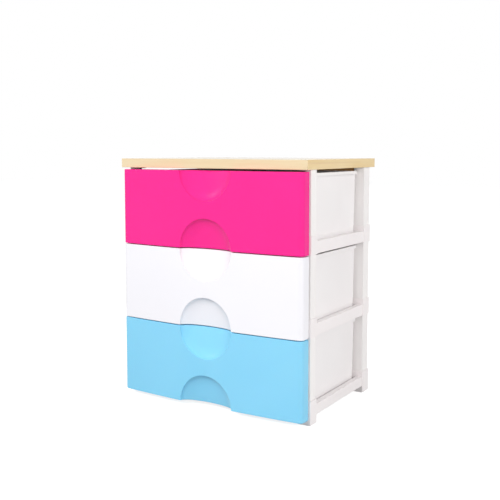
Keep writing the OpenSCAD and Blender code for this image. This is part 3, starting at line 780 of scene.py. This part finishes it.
def front_shell():
    """The shell, cut while it is still flat, then bowed and given its wall."""
    bm = bmesh.new()
    made = block(bm, (-FRONT_X, FACE_Y, 0), (FRONT_X, RETURN_Y, FRONT_H))
    rounded(bm, [e for e in edges_of(made, "Z") if e.verts[0].co.y < 0], CORNER_R, 12)
    shell = temporary(bm, "front")
    cut(shell, recess_tool(-SEAM, True), "DIFFERENCE")
    cut(shell, recess_tool(FRONT_H + SEAM, False), "DIFFERENCE")
    bm = bmesh.new()
    bm.from_mesh(shell.data)
    bpy.data.objects.remove(shell)
    # The cut leaves its corners in any order. Sorted first, the same ones are merged in every run.
    bm.verts.sort(key=lambda v: v.co.dot(ORDER_ALONG))
    bmesh.ops.remove_doubles(bm, verts=bm.verts, dist=0.02)
    sharp = [e for e in bm.edges if len(e.link_faces) == 2 and e.calc_face_angle() > 0.6
             and e.is_convex and not all(v.co.y > RETURN_Y - 0.01 for v in e.verts)]
    rounded(bm, sharp, EDGE_R, 4)
    back = [f for f in bm.faces if all(v.co.y > RETURN_Y - 0.01 for v in f.verts)]
    bmesh.ops.delete(bm, geom=back, context="FACES_ONLY")
    for x in range(-22 * BOW_STEP, 23 * BOW_STEP, BOW_STEP):
        bmesh.ops.bisect_plane(bm, geom=bm.verts[:] + bm.edges[:] + bm.faces[:],
                               plane_co=(x, 0, 0), plane_no=(1, 0, 0))
    for v in bm.verts:
        fade = min(1.0, (RETURN_Y - v.co.y) / (RETURN_Y - BOW_FULL_Y))
        v.co.y += bow_at(v.co.x) * fade
    bmesh.ops.recalc_face_normals(bm, faces=bm.faces)
    bmesh.ops.solidify(bm, geom=bm.faces[:], thickness=FRONT_WALL)
    return bm


def snap_hooks(bm):
    """Hooks that reach back from the face through the slots of the box."""
    for x, z in HOOKS:
        root = FACE_Y + bow_at(x) + FRONT_WALL / 2
        soft_block(bm, (x - HOOK_HALF, root, z - HOOK_T / 2),
                   (x + HOOK_HALF, HOOK_END, z + HOOK_T / 2), HOOK_EDGE_R)
        barb = [(x - HOOK_HALF, y, z + rise) for y, rise in BARB]
        prism(bm, barb, (2 * HOOK_HALF, 0, 0))


front_plastics = {
    "top": moulded_plastic("pink gloss plastic", tint(252, 48, 148), tint(254, 51, 151), 0.3,
                           grain=0.04, glow=0.1),
    "middle": moulded_plastic("white gloss plastic", tint(247, 246, 251), tint(249, 248, 252),
                              0.3, grain=0.04),
    "bottom": moulded_plastic("sky blue gloss plastic", tint(141, 216, 249), tint(146, 219, 251),
                              0.3, grain=0.04, glow=0.06)}
FRONT_SLOT = {"top": "front_pink", "middle": "front_white", "bottom": "front_blue"}
for tier, tier_z in TIER_Z.items():
    bm = front_shell()
    snap_hooks(bm)
    bmesh.ops.translate(bm, vec=(0, 0, tier_z), verts=bm.verts)
    piece(bm, f"drawer_front_{tier}_shell", front_plastics[tier], FRONT_SLOT[tier],
          f"{tier}_drawer", f"drawer_front_{tier}")

# ---- Studio ----
# A plain pale floor that runs out to white, a soft lamp high in front, a small one on the left
# for the glints on the rims, two on the right that lift the side, and the camera.
PAPER = 0.4
PAPER_SEEN = 0.6
FLOOR_LIGHT = 0.32
bm = bmesh.new()
bmesh.ops.create_grid(bm, x_segments=8, y_segments=8, size=12)
mesh = bpy.data.meshes.new("studio_floor")
bm.to_mesh(mesh)
bm.free()
floor = bpy.data.objects.new("studio_floor", mesh)
bpy.context.scene.collection.objects.link(floor)
paper = bpy.data.materials.new("white paper")
paper.use_nodes = True
tree = paper.node_tree
tree.nodes.remove(tree.nodes["Principled BSDF"])


def seen_directly(tree):
    """1 for what the camera sees itself, in gloss or through glass, and 0 for bounced light."""
    rays = shader(tree, "ShaderNodeLightPath").outputs
    total = rays["Is Camera Ray"]
    for kind in ("Is Glossy Ray", "Is Transmission Ray"):
        total = shader(tree, "ShaderNodeMath", {0: total, 1: rays[kind]}, operation="ADD",
                       use_clamp=True).outputs[0]
    return total


seen = seen_directly(tree)
fibre = noise(tree, shader(tree, "ShaderNodeTexCoord").outputs["Object"], 3.0)
bounced = blend(tree, fibre, (PAPER, PAPER, PAPER, 1), (PAPER * 1.02,) * 3 + (1,))
sheet = shader(tree, "ShaderNodeBsdfDiffuse",
               {"Color": blend(tree, seen, bounced, (PAPER_SEEN,) * 3 + (1,))})
glow = shader(tree, "ShaderNodeMath", {0: seen, 1: 1 - PAPER_SEEN * FLOOR_LIGHT},
              operation="MULTIPLY").outputs[0]
white = shader(tree, "ShaderNodeEmission", {"Strength": glow})
both = shader(tree, "ShaderNodeAddShader", {0: sheet.outputs[0], 1: white.outputs[0]})
tree.links.new(both.outputs[0], tree.nodes["Material Output"].inputs["Surface"])
mesh.materials.append(paper)

AMBIENT = 0.35
LIT_AT = Vector((0, 0, 0.32))
world = bpy.data.worlds.new("studio")
world.use_nodes = True
bpy.context.scene.world = world
tree = world.node_tree
tree.nodes["Background"].inputs["Color"].default_value = (1, 1, 1, 1)
tree.links.new(spread(tree, seen_directly(tree), 0, 1, AMBIENT, 1.0),
               tree.nodes["Background"].inputs["Strength"])

for name, place, power, size, mirrored_in_gloss in (
        ("key lamp", (-0.8, -3.1, 2.45), 69.0, 0.9, False),
        ("left lamp", (-2.9, -2.15, 2.3), 19.0, 0.5, True),
        ("side lamp", (3.4, 1.0, 1.4), 36.0, 1.2, False),
        ("fill lamp", (2.6, -2.1, 1.2), 41.0, 1.2, False)):
    lamp = bpy.data.lights.new(name, "AREA")
    lamp.energy = power
    lamp.size = size
    made = bpy.data.objects.new(name, lamp)
    bpy.context.scene.collection.objects.link(made)
    made.location = place
    made.visible_glossy = mirrored_in_gloss
    made.rotation_euler = (LIT_AT - Vector(place)).to_track_quat("-Z", "Y").to_euler()

camera = bpy.data.cameras.new("camera")
camera.lens = 55.91
camera.sensor_width = 36
camera.shift_y = -0.0746
eye = bpy.data.objects.new("camera", camera)
bpy.context.scene.collection.objects.link(eye)
eye.location = (1.112, -1.773, 0.658)
eye.rotation_euler = (radians(90 - 4.59), 0, radians(31.93))
bpy.context.scene.camera = eye
bpy.context.scene.view_settings.view_transform = "Standard"
